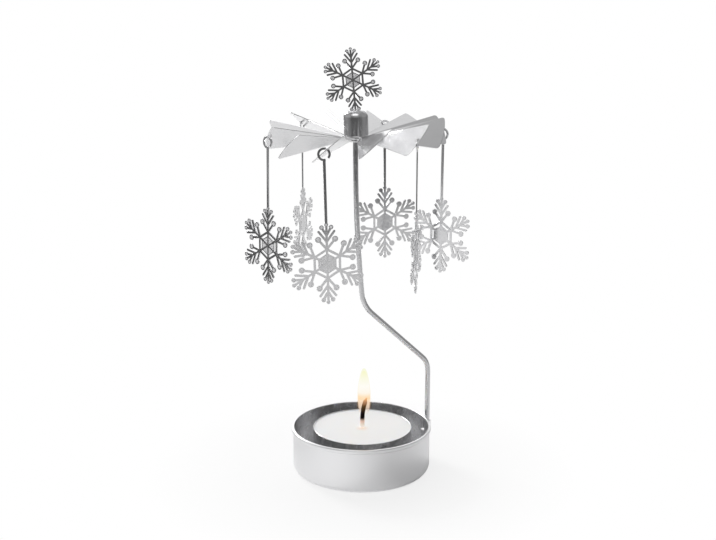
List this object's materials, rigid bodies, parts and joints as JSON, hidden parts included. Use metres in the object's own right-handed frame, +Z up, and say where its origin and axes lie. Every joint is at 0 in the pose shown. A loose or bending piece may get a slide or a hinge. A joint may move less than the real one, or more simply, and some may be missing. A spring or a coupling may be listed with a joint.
{
  "type": "candle carousel",
  "caption": "Rotary tealight holder: a round metal cup, a bent wire stem with a needle point, and a bladed fan that carries hanging snowflakes and a snowflake on top.",
  "frame": {"origin": "centre of the candle cup's underside", "axes": "+Z up along the cup's axis, +X to the right and -Y to the front of the pictured view"},
  "size_m": [0.0856, 0.076, 0.1643],
  "materials": {
    "cup_steel": "satin, finely brushed round the wall",
    "wire_steel": "drawn wire, semi-bright",
    "fan_steel": "polished sheet",
    "cap_steel": "polished, deep drawn",
    "bush_steel": "polished, turned",
    "seat_brass": "turned",
    "flake_steel": "polished sheet with half-etched satin discs",
    "foil": "thin drawn foil",
    "wax": "smooth wax, slightly translucent",
    "tin": "tin-plated",
    "wick_cotton": "braided cotton, charred"
  },
  "bodies": {
    "root": {"candle_cup": "cup_steel", "stem": "wire_steel"},
    "rotor": {"fan": "fan_steel", "hub_cap": "cap_steel", "hub_bush": "bush_steel", "bearing_seat": "seat_brass", "finial": "flake_steel"},
    "pendant_1": {"pendant_1": "flake_steel"},
    "pendant_2": {"pendant_2": "flake_steel"},
    "pendant_3": {"pendant_3": "flake_steel"},
    "pendant_4": {"pendant_4": "flake_steel"},
    "pendant_5": {"pendant_5": "flake_steel"},
    "pendant_6": {"pendant_6": "flake_steel"},
    "tealight": {"tealight_cup": "foil", "wax": "wax", "wick_sustainer": "tin", "wick": "wick_cotton"}
  },
  "joints": [
    {"name": "rotor_spin", "type": "hinge", "parent": "root", "child": "rotor", "pos_m": [-0.0022, 0, 0.1395], "axis": [0, 0, 1], "continuous": true},
    {"name": "pendant_1_swing", "type": "hinge", "parent": "rotor", "child": "pendant_1", "pos_m": [-0.0345, -0.0058, 0.13175], "axis": [-0.7325, 0.6807, 0], "range_deg": [-6, 45]},
    {"name": "pendant_2_swing", "type": "hinge", "parent": "rotor", "child": "pendant_2", "pos_m": [-0.01303, -0.03098, 0.1307], "axis": [-0.9755, -0.2198, 0], "range_deg": [-6, 45]},
    {"name": "pendant_3_swing", "type": "hinge", "parent": "rotor", "child": "pendant_3", "pos_m": [0.01961, -0.02511, 0.13315], "axis": [-0.184, -0.9829, 0], "range_deg": [-6, 45]},
    {"name": "pendant_4_swing", "type": "hinge", "parent": "rotor", "child": "pendant_4", "pos_m": [0.03079, 0.00621, 0.13341], "axis": [0.7716, -0.6361, 0], "range_deg": [-6, 45]},
    {"name": "pendant_5_swing", "type": "hinge", "parent": "rotor", "child": "pendant_5", "pos_m": [0.0092, 0.03144, 0.13368], "axis": [0.9494, 0.314, 0], "range_deg": [-6, 45]},
    {"name": "pendant_6_swing", "type": "hinge", "parent": "rotor", "child": "pendant_6", "pos_m": [-0.02333, 0.02525, 0.13437], "axis": [0.2402, 0.9707, 0], "range_deg": [-6, 45]},
    {"name": "tealight_lift", "type": "slide", "parent": "root", "child": "tealight", "axis": [0, 0, 1], "range_m": [0, 0.025]}
  ]
}
